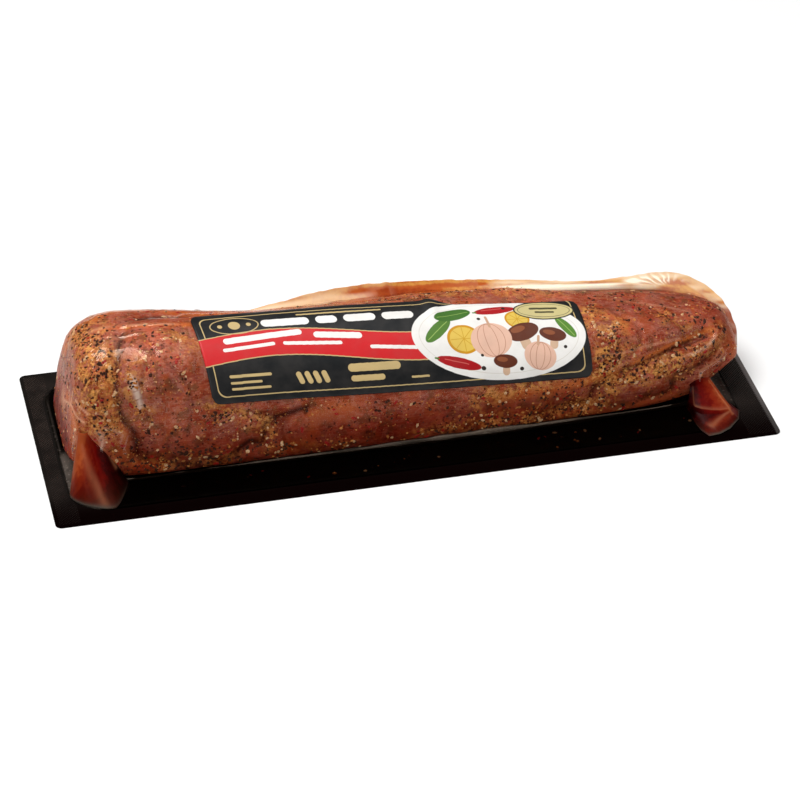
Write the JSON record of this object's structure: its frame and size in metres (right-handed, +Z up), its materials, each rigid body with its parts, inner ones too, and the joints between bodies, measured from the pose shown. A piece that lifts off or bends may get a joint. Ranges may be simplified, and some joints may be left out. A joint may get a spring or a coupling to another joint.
{
  "type": "vacuum-packed seasoned pork tenderloin",
  "caption": "Seasoned raw pork tenderloin in a clear formed film pocket sealed to a flat black base sheet, with a wrapped printed label.",
  "frame": {"origin": "middle of the base sheet's underside, where the pack rests", "axes": "+X along the pack towards its thin end, +Y towards the back, away from the label's lower edge, +Z up"},
  "size_m": [0.28, 0.104, 0.0517],
  "materials": {
    "base_sheet": "semi-gloss black film with a fine embossed seal pattern",
    "seasoned_meat": "wet seasoned meat seen through clear film",
    "clear_film": "thin clear glossy packing film",
    "marinade": "wet orange-brown marinade caught in folds of film",
    "seasoning": "cracked pepper, garlic granules and red pepper flakes",
    "label_print": "printed paper-backed film, satin"
  },
  "bodies": {
    "root": {"base_sheet": "base_sheet", "filled_film_pocket": "seasoned_meat", "label": "label_print"}
  },
  "joints": []
}
